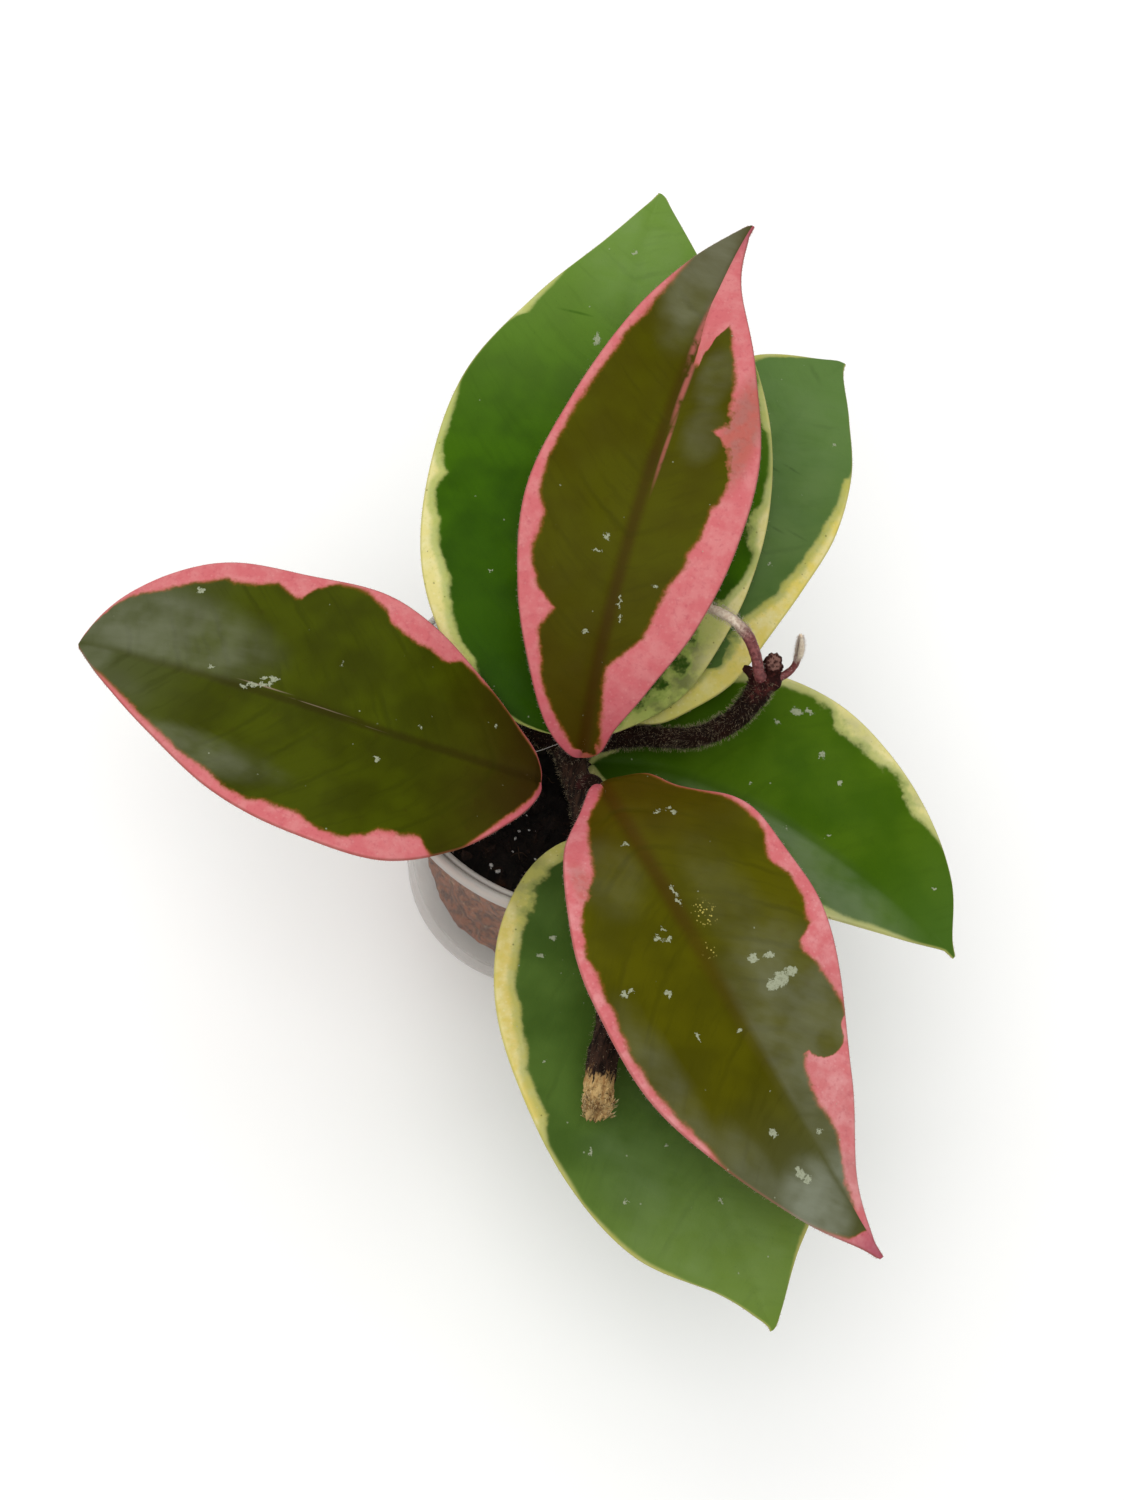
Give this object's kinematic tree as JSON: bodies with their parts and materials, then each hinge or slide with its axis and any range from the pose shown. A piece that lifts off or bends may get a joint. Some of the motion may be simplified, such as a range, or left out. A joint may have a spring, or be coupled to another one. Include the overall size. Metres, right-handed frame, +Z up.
{
  "type": "potted flamingo dream hoya carnosa",
  "caption": "Small potted wax plant with variegated pink and cream edged leaves, a cut old stem and a young side shoot in a frosted pot.",
  "frame": {"origin": "centre of the pot's flat underside", "axes": "+Z up through the pot's axis; -Y is the side the picture looks from; +X to that viewer's right"},
  "size_m": [0.1369, 0.1559, 0.0977],
  "materials": {
    "pot": "frosted translucent thin plastic",
    "soil": "damp dark potting mix with bark and a few white grains",
    "stem": "dark brown stem with fine pale hairs",
    "old_stem": "dry fibrous brown stem with a pale frayed cut end",
    "young_leaf": "folded young leaf with silver hairs",
    "pink_edged_leaf": "waxy olive green leaf with a pink edge",
    "cream_edged_leaf": "waxy green leaf with a cream yellow edge"
  },
  "bodies": {
    "root": {"pot": "pot", "soil": "soil", "rooted_stem": "stem", "old_stem": "old_stem", "side_shoot": "stem", "young_leaf_long": "young_leaf", "young_leaf_short": "young_leaf", "leaf_top": "pink_edged_leaf", "leaf_front": "pink_edged_leaf", "leaf_left": "pink_edged_leaf", "leaf_back_left": "cream_edged_leaf", "leaf_back_right": "cream_edged_leaf", "leaf_right": "cream_edged_leaf", "leaf_bottom": "cream_edged_leaf"}
  },
  "joints": []
}
